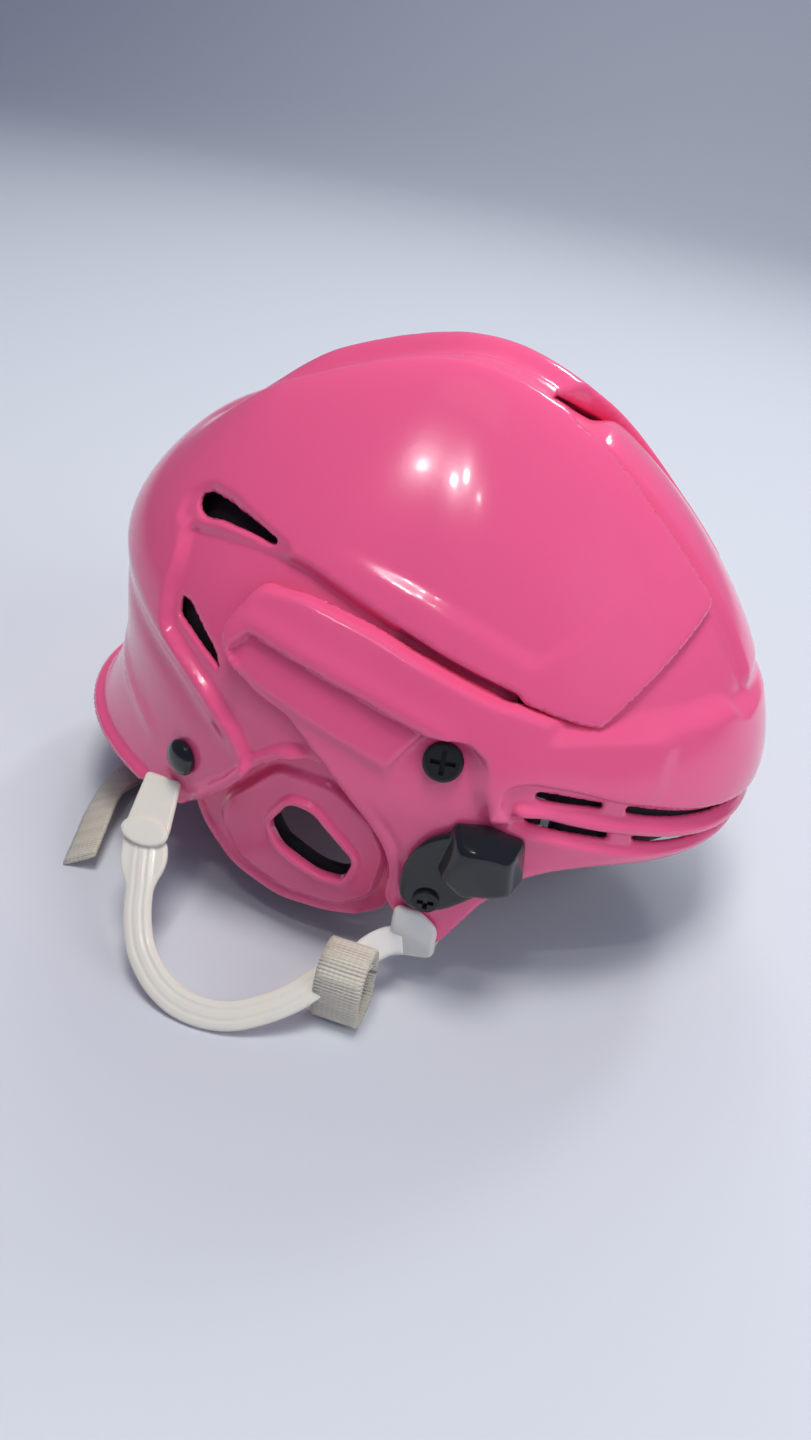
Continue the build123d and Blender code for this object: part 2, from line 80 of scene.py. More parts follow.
FORM_MIDDLE_X = 3.0
FORM_FRONT, FORM_BACK, FORM_SIDE, FORM_TOP = 127.0, 119.0, 97.0, 192.0
WIDE_FRONT, WIDE_BACK, WIDE_SIDE = 70.5, 113.6, 65.4
FRONT_BLEND, MIDDLE_BLEND = 40.0, 6.0
NAPE_FLARE, FLARE_TOP, FLARE_RUN = 14.0, 80.0, 43.0
FULLNESS = 1.55
FORM_NUDGE = 0.8


def raw_dome(x, y, z):
    """Below zero inside the outer form, but not in millimetres."""
    u = x - FORM_MIDDLE_X
    flare = NAPE_FLARE * np.clip((FLARE_TOP - z) / FLARE_RUN, 0.0, 1.0) ** 2
    reach = np.where(u > 0, FORM_FRONT, FORM_BACK + flare)
    front = 0.5 * (1 + np.tanh(u / FRONT_BLEND))
    near = u * u + MIDDLE_BLEND ** 2
    along = np.sqrt(near / (near + y * y))
    wide = along * (front * WIDE_FRONT + (1 - front) * WIDE_BACK) + (1 - along) * WIDE_SIDE
    up = np.clip((z - wide) / (FORM_TOP - wide), 0.0, None)
    out = np.hypot(u / reach, y / FORM_SIDE)
    return (out ** FULLNESS + up ** FULLNESS) ** (1 / FULLNESS) - 1


def dome(x, y, z):
    """Distance outwards from the outer form, in millimetres."""
    e = FORM_NUDGE
    gx = raw_dome(x + e, y, z) - raw_dome(x - e, y, z)
    gy = raw_dome(x, y + e, z) - raw_dome(x, y - e, z)
    gz = raw_dome(x, y, z + e) - raw_dome(x, y, z - e)
    return raw_dome(x, y, z) * 2 * e / np.maximum(np.sqrt(gx * gx + gy * gy + gz * gz), 1e-6)


# Outlines

CORNER_POINTS = 7
CORNER_SHARE = 0.48     # a corner takes up at most this much of each side


def rounded(points, radius):
    """The corners of a closed outline, each turned into a short curve."""
    pts = [np.array(p, float) for p in points]
    if not radius:
        return np.array(pts)
    made = []
    for i, p in enumerate(pts):
        a, b = pts[i - 1] - p, pts[(i + 1) % len(pts)] - p
        pa = p + a * min(radius / np.linalg.norm(a), CORNER_SHARE)
        pb = p + b * min(radius / np.linalg.norm(b), CORNER_SHARE)
        made += [(1 - t) ** 2 * pa + 2 * t * (1 - t) * p + t * t * pb
                 for t in np.linspace(0, 1, CORNER_POINTS)]
    return np.array(made)


def stretch_distance(p, q, a, b):
    """Squared distance from each place to the straight stretch between two points."""
    d = q - p
    t = np.clip(((a - p[0]) * d[0] + (b - p[1]) * d[1]) / max(d @ d, 1e-9), 0, 1)
    return (a - p[0] - t * d[0]) ** 2 + (b - p[1] - t * d[1]) ** 2


def line_distance(points, a, b):
    """Distance to an open line."""
    nearest = np.full(np.broadcast(a, b).shape, np.inf)
    for p, q in zip(points[:-1], points[1:]):
        nearest = np.minimum(nearest, stretch_distance(p, q, a, b))
    return np.sqrt(nearest)


def polygon_distance(points, a, b):
    """Distance to a closed outline, below zero inside."""
    inside = np.zeros(np.broadcast(a, b).shape, bool)
    for p, q in zip(points, np.roll(points, -1, 0)):
        crosses = (p[1] > b) != (q[1] > b)
        with np.errstate(divide="ignore", invalid="ignore"):
            inside ^= crosses & (a < (q[0] - p[0]) * (b - p[1]) / (q[1] - p[1]) + p[0])
    return np.where(inside, -1, 1) * line_distance(np.vstack([points, points[:1]]), a, b)


class Outline:
    """A closed outline whose distance is kept in a table and looked up between its entries."""

    step = 0.75

    def __init__(self, points, rounding=0.0, low=(-172.0, -24.0), high=(172.0, 222.0)):
        self.low = low
        a = np.arange(low[0], high[0], self.step)[:, None]
        b = np.arange(low[1], high[1], self.step)[None, :]
        self.table = polygon_distance(rounded(points, rounding), a, b)

    def __call__(self, a, b):
        n, m = self.table.shape
        i = np.clip((a - self.low[0]) / self.step, 0, n - 1.001)
        j = np.clip((b - self.low[1]) / self.step, 0, m - 1.001)
        i, j = np.broadcast_arrays(i, j)
        i0, j0 = i.astype(int), j.astype(int)
        di, dj = i - i0, j - j0
        t = self.table
        return ((t[i0, j0] * (1 - dj) + t[i0, j0 + 1] * dj) * (1 - di)
                + (t[i0 + 1, j0] * (1 - dj) + t[i0 + 1, j0 + 1] * dj) * di)


def ramp(distance, width):
    """One inside an outline, nothing outside, with a soft step of that width."""
    return smoothstep(0.5 - distance / width)


# Meshes

BAND_STEPS = 3          # how many steps of the field are kept on each side of its surface
REFINE_PASSES = 3
REFINE_NUDGE = 0.25
LEAST_SLOPE = 0.2
LONGEST_MOVE = 0.6      # of a step, in one pass


def placed(name, mesh):
    """An object of a mesh, in the scene."""
    ob = bpy.data.objects.new(name, mesh)
    bpy.context.scene.collection.objects.link(ob)
    return ob


def mesh_object(name, verts, faces):
    """A smooth piece from points in millimetres and faces of any size."""
    me = bpy.data.meshes.new(name)
    me.from_pydata([tuple(v) for v in np.asarray(verts) * MM], [], [tuple(int(i) for i in f) for f in faces])
    me.validate()
    me.polygons.foreach_set("use_smooth", [True] * len(me.polygons))
    me.update()
    return placed(name, me)


def quads_object(name, points, quads):
    """The same from large arrays of points and four-sided faces."""
    me = bpy.data.meshes.new(name)
    me.vertices.add(len(points))
    me.vertices.foreach_set("co", (points * MM).astype(np.float32).ravel())
    me.loops.add(len(quads) * 4)
    me.loops.foreach_set("vertex_index", quads.astype(np.int32).ravel())
    me.polygons.add(len(quads))
    me.polygons.foreach_set("loop_start", np.arange(len(quads), dtype=np.int32) * 4)
    me.polygons.foreach_set("use_smooth", np.ones(len(quads), bool))
    me.update(calc_edges=True)
    me.validate()
    return placed(name, me)


def spacing(low, high, step, finer):
    """Places to sample between two ends, closer together within a finer stretch."""
    if not finer:
        return np.arange(low, high + step, step)
    start, end, close = finer
    return np.concatenate([np.arange(low, start, step), np.arange(start, end, close),
                           np.arange(end, high + step, step)])


def slope(field, p):
    """How fast a field grows along each axis at each point."""
    sides = np.eye(3) * REFINE_NUDGE
    return np.stack([field(*(p + side).T) - field(*(p - side).T) for side in sides], 1) / (2 * REFINE_NUDGE)


def solid(name, field, low, high, step, fine=(None, None, None)):
    """The surface where a field is zero, sampled in a box and then moved onto the field's true zero."""
    axes = [spacing(a, b, step, finer) for a, b, finer in zip(low, high, fine)]
    x, y, z = np.meshgrid(*axes, indexing="ij", sparse=True)
    band = BAND_STEPS * step
    values = np.clip(field(x, y, z), -band, band).astype(np.float32)
    for axis in range(3):
        edge = np.moveaxis(values, axis, 0)
        edge[0] = edge[-1] = band
    grid = vdb.FloatGrid(band)
    grid.copyFromArray(np.ascontiguousarray(values))
    points, quads = grid.convertToQuads(0.0)
    p = np.stack([np.interp(points[:, i], np.arange(len(axes[i])), axes[i]) for i in range(3)], 1)
    for _ in range(REFINE_PASSES):
        g = slope(field, p)
        move = field(*p.T) / np.maximum((g * g).sum(1), LEAST_SLOPE)
        p -= np.clip(move, -LONGEST_MOVE * step, LONGEST_MOVE * step)[:, None] * g
    return quads_object(name, p, quads[:, ::-1])


def mirrored(right):
    """The same piece for the wearer's left side."""
    name = right.name.replace("_right", "_left")
    me = right.data.copy()
    me.name = name
    me.transform(Matrix.Scale(-1, 4, (0, 1, 0)))
    me.flip_normals()
    return placed(name, me)


# Materials, on Object coordinates or on a strip's own UV

COAT_ROUGHNESS = 0.06
CLOUD_SHARE = 0.06      # the scale of the cloudy shade, as a share of the bump's
BUMP_DEPTH, WEAVE_DEPTH = 0.0004, 0.00025
# The last share darkens the webbing's colour in the grooves between its ribs, as painted shade.
CROSS_RIBS, CROSS_WEIGHT, WEAVE_GROOVE_SHADE = 0.62, 0.35, 0.72


def fill(node, **values):
    """Set some inputs of a node. Base_Color stands for the input Base Color."""
    for key, value in values.items():
        node.inputs[key.replace("_", " ")].default_value = value


def add(tree, kind, **values):
    node = tree.nodes.new(kind)
    fill(node, **values)
    return node


def new_material(name):
    m = bpy.data.materials.new(name)
    m.use_nodes = True
    return m, m.node_tree, m.node_tree.nodes["Principled BSDF"]


def blend_colours(tree, factor, first, second, into):
    """Run the base colour between two colours."""
    tone = tree.nodes.new("ShaderNodeMix")
    tone.data_type = "RGBA"
    fill(tone, A=(*first, 1), B=(*second, 1))
    tree.links.new(factor, tone.inputs["Factor"])
    tree.links.new(tone.outputs["Result"], into.inputs["Base Color"])


def add_bump(tree, height, strength, depth, into):
    bump = add(tree, "ShaderNodeBump", Strength=strength, Distance=depth)
    tree.links.new(height, bump.inputs["Height"])
    tree.links.new(bump.outputs["Normal"], into.inputs["Normal"])


def material(name, colour, roughness, coat=0.0, metal=0.0, bump=0.0, scale=900.0, shade=0.0, sheen=0.0):
    """A moulded or foamed surface, with a cloudy shade and a fine bump where they are given."""
    m, tree, main = new_material(name)
    fill(main, Base_Color=(*colour, 1), Roughness=roughness, Metallic=metal, Coat_Weight=coat,
         Coat_Roughness=COAT_ROUGHNESS, Sheen_Weight=sheen)
    where = tree.nodes.new("ShaderNodeTexCoord").outputs["Object"]
    if shade:
        clouds = add(tree, "ShaderNodeTexNoise", Scale=scale * CLOUD_SHARE)
        tree.links.new(where, clouds.inputs["Vector"])
        blend_colours(tree, clouds.outputs["Fac"], [c * (1 - shade) for c in colour],
                      [min(1, c * (1 + shade)) for c in colour], main)
    if bump:
        fine = add(tree, "ShaderNodeTexNoise", Scale=scale, Detail=4)
        tree.links.new(where, fine.inputs["Vector"])
        add_bump(tree, fine.outputs["Fac"], bump, BUMP_DEPTH, main)
    return m


def webbing_material(name, colour, ribs):
    """Woven webbing: fine ribs across the strip and fainter ones along it, with painted shade between the
    ribs.
    """
    m, tree, main = new_material(name)
    fill(main, Roughness=0.8, Sheen_Weight=0.25)
    uv = tree.nodes.new("ShaderNodeUVMap")
    uv.uv_map = "strip"
    split = tree.nodes.new("ShaderNodeSeparateXYZ")
    tree.links.new(uv.outputs["UV"], split.inputs["Vector"])
    waves = []
    for axis, count in (("X", ribs), ("Y", ribs * CROSS_RIBS)):
        times, sine = tree.nodes.new("ShaderNodeMath"), tree.nodes.new("ShaderNodeMath")
        times.operation, sine.operation = "MULTIPLY", "SINE"
        times.inputs[1].default_value = count * 2 * math.pi
        tree.links.new(split.outputs[axis], times.inputs[0])
        tree.links.new(times.outputs[0], sine.inputs[0])
        waves.append(sine.outputs[0])
    both = tree.nodes.new("ShaderNodeMath")
    both.operation = "MULTIPLY_ADD"
    both.inputs[1].default_value = CROSS_WEIGHT
    tree.links.new(waves[1], both.inputs[0])
    tree.links.new(waves[0], both.inputs[2])
    add_bump(tree, both.outputs[0], 0.9, WEAVE_DEPTH, main)
    # Painted shade: the colour runs darker where the weave's bump is low, between the ribs.
    dark = add(tree, "ShaderNodeMapRange", From_Min=-1.3, From_Max=1.3)
    tree.links.new(both.outputs[0], dark.inputs["Value"])
    blend_colours(tree, dark.outputs["Result"], [c * WEAVE_GROOVE_SHADE for c in colour], colour, main)
    return m


pink = material("shell_pink", (0.97, 0.122, 0.29), 0.18, coat=0.35, bump=0.03, scale=420, shade=0.03)
foam = material("foam_dark", (0.022, 0.022, 0.026), 0.85, bump=0.5, scale=1400, shade=0.2, sheen=0.1)
gloss_black = material("stud_black", (0.008, 0.008, 0.009), 0.16, coat=0.5, bump=0.05, scale=800)
coated = material("screw_black", (0.012, 0.012, 0.013), 0.38, bump=0.15, scale=1500)
plated = material("nut_steel", (0.55, 0.55, 0.57), 0.35, metal=1.0, bump=0.1, scale=1500)
clip_black = material("clip_black", (0.012, 0.012, 0.014), 0.24, coat=0.35, bump=0.06, scale=900)
vinyl = material("vinyl_milky", (0.86, 0.82, 0.72), 0.3, coat=0.2, bump=0.08, scale=300, shade=0.03)
white = material("vinyl_white", (0.80, 0.78, 0.74), 0.45, bump=0.2, scale=350, shade=0.04)
for m in (vinyl, white):
    fill(m.node_tree.nodes["Principled BSDF"], Subsurface_Weight=0.25, Subsurface_Scale=0.003)
cream = webbing_material("webbing_cream", (0.88, 0.81, 0.66), 0.9)


def dress(ob, mat, body, slot, *nodes):
    """Give a piece its material, the body it moves with and the CAD nodes it stands for."""
    ob.data.materials.clear()
    ob.data.materials.append(mat)
    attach(ob, body)
    if nodes:
        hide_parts(*nodes)
    return ob


def dress_pair(right, mat, body, slot, node=""):
    """Dress a right piece and its mirror image, which stand for the right and the left node."""
    pieces = (right, mirrored(right))
    for piece, side in zip(pieces, ("right", "left")):
        dress(piece, mat, body, slot, *([node + "_" + side] if node else []))
    return pieces


# Outlines of the shells in side view, as (x, z)

band = Outline([(38.5, 17.5), (50, 38.7), (60.6, 49.5), (72, 53.8), (84, 55.3), (103, 51.5), (122, 48),
                (150, 45), (150, 101), (100, 99.5), (74, 101.6), (60, 105.7), (48, 109.2), (44, 109.3),
                (40.5, 110), (0.3, 121.6), (-24, 126.5), (-39.5, 126), (-48, 113), (-46, 103.3),
                (-35.6, 95.1), (-22.4, 91.3), (-4.5, 76.7), (9, 64), (16, 55), (19.4, 46), (18.5, 34),
                (25.5, 26), (30, 17.5)], 4.0)
upper = Outline([(62, 98.4), (160, 98.4), (160, 215), (92, 215), (92, 140), (62, 107)])
bar = Outline([(-27, 129), (-39, 127), (-49.5, 114), (-48.5, 106.5), (-43, 101), (-36, 97.5), (-21, 93),
               (24, 79.5), (46, 72.5), (60, 76), (96, 80), (96, 99.5), (73, 102.5), (59, 107),
               (40, 112.5), (21, 117.5), (1, 122.5), (-17, 127.5)], 5.0)
groove = Outline([(-38.5, 113.5), (-44.5, 106.8), (-41, 101), (-37, 95), (-21, 89), (24, 75), (40, 78),
                  (27, 97), (20, 99), (6, 102.6), (-9, 106.4), (-25, 110.4)], 1.2)
pocket = Outline([(12, 82), (17.5, 91.5), (22, 97.8), (35, 98.2), (43, 93.5), (46, 85), (48, 70),
                  (30, 72)], 2.4)
pocket_floor = Outline([(8, 80), (17.5, 91.5), (22, 97.8), (35.6, 98), (37, 92), (38.5, 82), (46, 69),
                        (30, 70)], 1.5)
panel = Outline([(49.5, 86), (56, 88), (70, 85), (88, 79.5), (127, 67), (150, 60), (150, 47),
                 (120, 52.5), (88, 62), (56, 71), (50, 77)], 3.0)
rib = Outline([(54, 80.4), (88, 71.9), (127, 60.0), (150, 53), (150, 49.5), (127, 56.2), (88, 68.1),
               (54, 77.2)], 1.8)
slots = [Outline(points, 1.6) for points in (
    [(58.6, 84.6), (79, 79.8), (79, 76.6), (58.6, 81.4)],
    [(86.5, 77.6), (126, 65), (126, 61.8), (86.5, 74.2)],
    [(56.8, 75.2), (83, 68.4), (83, 65.2), (56.8, 72)],
    [(91, 66.3), (121, 56.6), (121, 53.4), (91, 63.1)])]

rear_outline = Outline([(-60.5, 37), (-50.5, 46.5), (-40, 57), (-31.5, 67.5), (-22.5, 75), (-14.6, 76.6),
                        (-4, 76.5), (6, 80.5), (46, 80.5), (46, 110.6), (72.4, 102.7), (97.3, 131.5),
                        (112, 150), (112, 215), (-160, 215), (-160, 37)], 2.6)
bed = Outline([(-20, 40), (-30, 60), (-39, 77), (-52, 88), (-65, 95.5), (-73, 100), (-74.5, 110),
               (-72.5, 121), (-73.5, 130.5), (-60, 132.5), (-44, 134), (-28, 133), (17.6, 119.5),
               (47, 110.8), (47, 40)], 3.0)
flank = Outline([(-150, 121), (-104, 113), (-90, 105), (-77, 98.5), (-60, 91), (-42, 76), (-30, 64),
                 (-30, 20), (-150, 20)], 6.0)
chevron = Outline([(-34, 141), (-14, 140.5), (12, 135), (29, 130), (49, 122.5), (57, 129), (72, 143),
                   (120, 160), (120, 80), (-34, 80)], 0.8)
vent_bevel = Outline([(-78, 131), (-76.5, 138), (-69, 143.5), (-58, 143.5), (-34, 136.6), (-34, 134),
                      (-60, 131)], 3.0)
vents = [Outline(points, 1.4) for points in (
    [(-71.4, 139), (-67, 141.2), (-59, 141), (-47, 139), (-39.5, 137), (-38.4, 135.6), (-40.5, 134.4),
     (-50, 135.4), (-60, 135.4), (-68, 133.8), (-71.4, 135.6)],
    [(-69.4, 110.6), (-69, 103.8), (-65.5, 102.4), (-49, 94.4), (-52.4, 100.2), (-65, 110)])]

ear_outline = Outline([(-66, 64), (-66, 50), (-52.2, 30.1), (-40.1, 19.7), (-20.7, 14.6), (-1.6, 15.9),
                       (14.2, 19.8), (20.4, 27), (20.4, 52), (10, 70), (2, 79.5), (-30, 79.5),
                       (-46, 64)], 5.0)
pan = Outline([(-42.7, 48), (-45.5, 38), (-37, 26.5), (-18, 20.5), (3, 21.5), (13.5, 30), (16.5, 48),
               (9, 61), (-4, 69.5), (-24, 69)], 4.0)
hole = Outline([(-25.1, 46.8), (-18, 58.5), (-10, 58.5), (6.5, 44), (3.5, 34), (-6, 33.5), (-20, 39)], 3.2)

# Front shell

WALL = 2.8
BAR_LEVEL, BAR_CREST, BAR_HOLLOW = 4.0, 0.9, 3.0
CHANNEL_SHARE, BAR_END_SHARE = 0.6, 0.75    # how much of the bar's height the channel and its far end lose
PANEL_DEPTH, BROW_UNDERCUT, BROW_LIP, EDGE_GROOVE = 2.2, 4.2, 0.9, 0.9
STEP_LEVEL, TONGUE_LEVEL, TONGUE_MIDDLE = -3.4, -7.0, 3.0
TONGUE_HALF, TOP_HALF, TOP_BACK_X = 32.0, 30.0, 12.0
FLANGE_LEVELS = (-3.1, -4.0)                # how far the bar's top edge turns in, at its back and its front
SCREW_X, SCREW_Z, SCREW_HOLE = 29.2, 89.9, 2.6


def bar_fade(x):
    return 1 - rise(x, 44.0, 78.0) * BAR_END_SHARE


def front_level(x, z):
    """How far the front shell's outer face stands over the form: bar, screw pocket, brow and panel."""
    channel = groove(x, z)
    height = BAR_LEVEL + BAR_CREST * ridge(channel, 3.6, 3.4) * rise(x, 42.0, 22.0)
    level = height * ramp(bar(x, z), 5.0) * bar_fade(x) * (1 - CHANNEL_SHARE * ramp(channel, 1.3))
    sunk = np.clip(1 - pocket_floor(x, z) / 8.5, 0.0, 1.0) * ramp(pocket(x, z), 2.2)
    level = mix(level, 0.0, smoothstep(sunk))
    under = rise(z + 0.09 * (150.0 - x), 66.0, 49.0) * rise(x, 50.0, 70.0)
    lip = ridge(z + 0.27 * (x - 86.0), 62.5, 4.5) * rise(x, 50.0, 62.0)
    level = level - BROW_UNDERCUT * under + BROW_LIP * lip
    level = level - PANEL_DEPTH * ramp(panel(x, z), 2.2) * (1 - ramp(rib(x, z), 2.6))
    return level - EDGE_GROOVE * ridge(band(x, z), -5.0, 1.3) * rise(x, 30.0, 24.0) * rise(z, 72.0, 62.0)


def crown_level(x, y, z, level):
    """Step down under the lobes, and down again to the tongue under the crown."""
    wide = np.abs(y)
    crease = 96.0 + 4.5 * rise(wide, 24.0, 34.0)
    level = mix(level, STEP_LEVEL, rise(z, crease - 1.5, crease + 6.5) * rise(x, 57.0, 63.0))
    tongue = mix(TONGUE_LEVEL, STEP_LEVEL, rise(x, 33.0, 55.0))
    level = mix(level, tongue, ramp(wide - TONGUE_HALF, 3.0) * rise(z, 130.0, 138.0))
    return level + TONGUE_MIDDLE * rise(wide, 18.2, 13.7) * rise(x, 40.0, 50.0) * rise(z, 98.0, 108.0)


def front_field(x, y, z):
    d = dome(x, y, z)
    outer = front_level(x, z)
    hollow = BAR_HOLLOW * ramp(bar(x, z) + 3.0, 6.0) * bar_fade(x)
    level = crown_level(x, y, z, outer)
    under = crown_level(x, y, z, smooth_min(outer, hollow, 0.8)) - WALL
    flange = rise(band(x, z), -3.0, -1.5) * rise(z + 0.33 * x, 116.0, 122.0) * rise(x, 48.0, 36.0)
    turned_in = np.minimum(under, mix(*FLANGE_LEVELS, rise(x, 13.0, 18.0)))
    under = mix(under, turned_in, flange)
    top = smooth_max(np.abs(y) - TOP_HALF, smooth_max(TOP_BACK_X - x, 97.6 - z, 2.0), 2.0)
    zone = smooth_min(smooth_min(band(x, z), upper(x, z), 1.0), top, 1.0)
    shell = smooth_max(smooth_max(d - level, under - d, 0.4), zone, 1.4)
    for slot in slots:
        shell = smooth_max(shell, -slot(x, z), 1.0)
    screw_hole = np.sqrt((x - SCREW_X) ** 2 + (z - SCREW_Z) ** 2) - SCREW_HOLE
    return smooth_max(shell, -screw_hole, 0.3)


front = solid("front_shell_looks", front_field, (-54, -106, 12), (136, 106, 192), 1.5,
              ((-30, 136, 1.2), None, (46, 128, 0.85)))
dress(front, pink, "front", "pink_shell", "front_shell")

# Rear shell

LOBE_LEVEL, LOBE_WIDTH, CREST_AT, CREST_SPREAD = 4.6, 21.0, 20.0, 6.0
VALLEY_LEVEL, VALLEY_SIDE, VALLEY_THINNING = -4.4, 14.0, 0.6
CHEVRON_LEVEL, FOLD_RIDGE, FOLD_VALLEY, FACET_RIDGE, VENT_DEPTH, ARCH_LIP = 1.3, 1.3, 1.5, 1.0, 1.5, 2.5
BED_LEVEL, DEEP_BED_LEVEL = -3.4, -5.4
NOTCH_HALF, NOTCH_BACK_X = 19.0, 29.0
NOTCH_RIM_LEVELS = (-6.6, -3.0)             # how far the notch's edge turns in, at its back and its front


def lobes(x, y, z):
    """How far the two lobes of the crown stand over the form, and the valley between them under it."""
    wide = np.abs(y)
    crest = CREST_AT + CREST_SPREAD * (1 - rise(x, -50.0, 10.0))
    height = LOBE_LEVEL - 1.9 * rise(x, -10.0, 40.0) - 2.7 * rise(x, 45.0, 80.0)
    outside = height * np.exp(-np.clip((wide - crest) / LOBE_WIDTH, 0.0, None) ** 2)
    made = mix(outside, VALLEY_LEVEL * rise(x, 42.0, 28.0), rise(wide, crest, crest - VALLEY_SIDE))
    return made * rise(x, -94.0, -54.0) * rise(z, 118.0, 132.0)


def rear_level(x, y, z):
    """How far the rear shell's outer face stands over the form: lobes, chevron, folds, vents and beds."""
    level = lobes(x, y, z)
    raised = rise(x, -30.0, 10.0) * rise(x, 78.0, 52.0)
    level = level + CHEVRON_LEVEL * ramp(chevron(x, z) + 1.5, 5.0) * raised
    side = flank(x, z)
    fold = (FOLD_RIDGE * ridge(side, 1.0, 4.2) - FOLD_VALLEY * ridge(side, -8.5, 5.5)) * rise(z, 56.0, 86.0)
    level = level + fold * rise(x - 0.25 * z, -42.0, -52.0) * rise(z, 110.0, 90.0)
    facet = ridge(z + 0.36 * (x + 101.0), 66.0, 3.5) * rise(x, -72.0, -84.0) * rise(x, -116.0, -100.0)
    level = level + FACET_RIDGE * facet - VENT_DEPTH * ramp(vent_bevel(x, z), 3.5)
    depth = mix(BED_LEVEL, DEEP_BED_LEVEL, rise(x, 4.0, 8.0))
    lip = rise(rear_outline(x, z), -4.8, -2.4) * rise(z, 84.0, 79.0) * rise(x, -12.0, -20.0)
    beside_tab = rise(np.abs(x + 66.0), 9.0, 15.0)
    return mix(level, depth, ramp(bed(x, z), 5.0)) + ARCH_LIP * lip * beside_tab


def rear_field(x, y, z):
    d = dome(x, y, z)
    level = rear_level(x, y, z)
    crown = lobes(x, y, z)
    half = NOTCH_HALF - 12.0 * (1 - rise(x, 27.0, 41.0))
    notch = smooth_max(np.abs(y) - half, smooth_max(NOTCH_BACK_X - x, 65.0 - z, 1.0), 3.0)
    zone = smooth_max(rear_outline(x, z), -notch, 2.0)
    under = smooth_min(level, np.maximum(crown, 0.0), 0.6) - (WALL - VALLEY_THINNING * rise(crown, 0.0, -4.0))
    rim = rise(np.abs(y), 34.0, 29.0) * rise(x, 22.0, 28.0) * rise(z, 118.0, 128.0)
    turned_in = np.minimum(under, mix(*NOTCH_RIM_LEVELS, rise(x, 25.0, 47.0)))
    under = mix(under, turned_in, rim)
    shell = smooth_max(smooth_max(d - level, under - d, 0.4), zone, 1.6)
    for vent in vents:
        shell = smooth_max(shell, -vent(x, z), 1.0)
    return shell


rear = solid("rear_shell_looks", rear_field, (-136, -102, 32), (116, 102, 196), 1.6,
             ((-82, -30, 1.1), None, (94, 144, 1.2)))
dress(rear, pink, "rear", "pink_shell", "rear_shell")

# Ear guards

EAR_LEVEL, PAN_LEVEL, EAR_WALL, HOLE_RIM, EAR_LIP = -6.8, -4.4, 2.2, 2.3, 1.2


def ear_field(x, y, z):
    """A plate under the rear shell with a raised pan, and in it a hole with a rim."""
    d = dome(x, y, z)
    flat = mix(EAR_LEVEL, PAN_LEVEL, ramp(pan(x, z), 3.0))
    rim = ramp(hole(x, z) - 2.6, 1.6)
    lip = rise(ear_outline(x, z), -5.0, -1.5) * rise(z, 44.0, 30.0) * rise(x, 13.0, 8.0)
    shell = smooth_max(d - (flat + HOLE_RIM * rim + EAR_LIP * lip), flat - EAR_WALL - d, 0.5)
    shell = smooth_max(shell, ear_outline(x, z), 1.2)
    return smooth_max(smooth_max(shell, -hole(x, z), 1.0), y + 20.0, 0.5)


ear = solid("ear_guard_looks_right", ear_field, (-70, -100, 10), (26, -60, 84), 0.9)
dress_pair(ear, pink, "rear", "pink_shell", "ear_guard")

# Foam liner: layers under the shells, each cut to an outline in side view or, over the crown, in plan

PLAN_LOWEST_Z = 120.0
CROWN_BOX, FRONT_CROWN_BOX = ((-90, -50), (20, 50)), ((-10, -50), (80, 50))
SIDE_PAD_ROUNDING = 2.4
NUT_X, NUT_TRAVEL_X, NUT_Z, NUT_ROOM, NUT_ROOM_DEPTH = 29.2, 19.6, 87.6, 8.3, 14.6


def side_view(outline):
    return lambda x, y, z: outline(x, z)


def plan_view(outline):
    return lambda x, y, z: smooth_max(outline(x, y), PLAN_LOWEST_Z - z, 1.0)


def pad_field(region, outer, thickness, rounding=3.5, right_only=False):
    """A layer from a level inwards, within a region."""
    def field(x, y, z):
        d = dome(x, y, z)
        level = outer(z) if callable(outer) else outer
        layer = smooth_max(d - level, level - thickness - d, rounding * 1.6)
        made = smooth_max(layer, region(x, y, z), rounding * 1.6)
        return smooth_max(made, y + 2.0, 1.0) if right_only else made
    return field


def nut_room(x, y, z):
    """Room in the side pad for the size nut and its travel."""
    run = np.clip(x, NUT_TRAVEL_X, NUT_X)
    return smooth_max(np.hypot(x - run, z - NUT_Z) - NUT_ROOM, -dome(x, y, z) - NUT_ROOM_DEPTH, 0.5)


def side_pad_field(x, y, z):
    return smooth_max(side_pad_layer(x, y, z), -nut_room(x, y, z), 1.0)


def around_ear_hole(x, y, z):
    return smooth_max(ear_foam(x, z), -hole(x, z), 1.0)


def front_pad_level(z):
    return -5.6 - 2.2 * rise(z, 63.0, 55.0)


front_pad = Outline([(64, 53.5), (150, 53.5), (150, 95.5), (56, 95.5), (56, 77), (64, 76)], 5)
upper_front_pad = Outline([(63.5, 98), (160, 98), (160, 215), (72, 215)], 7)
rear_pad = Outline([(-160, 58), (-71, 58), (-82, 96), (-86, 150), (-160, 150)], 8)
crown_pad = Outline([(-70, -34), (0, -34), (0, 34), (-70, 34)], 9, *CROWN_BOX)
front_crown_pad = Outline([(12, -25), (58, -25), (58, 25), (12, 25)], 8, *FRONT_CROWN_BOX)
ear_foam = Outline([(-38, 46), (-40, 38), (-33, 29), (-18, 24.5), (1, 25.5), (11, 34), (12.5, 49), (6, 58),
                    (-5, 66), (-22, 66)], 6)
side_pad = Outline([(-77, 97), (-66, 86), (-20, 84), (44, 84), (44, 97), (54, 98), (54, 112), (44, 114),
                    (-20, 130), (-77, 143)], 6)
temple_pad = Outline([(31, 37.5), (47, 37.5), (52, 45), (62, 56), (62, 74), (50, 74), (31, 60)], 5)
side_pad_layer = pad_field(side_view(side_pad), -8.5, 11, SIDE_PAD_ROUNDING, True)

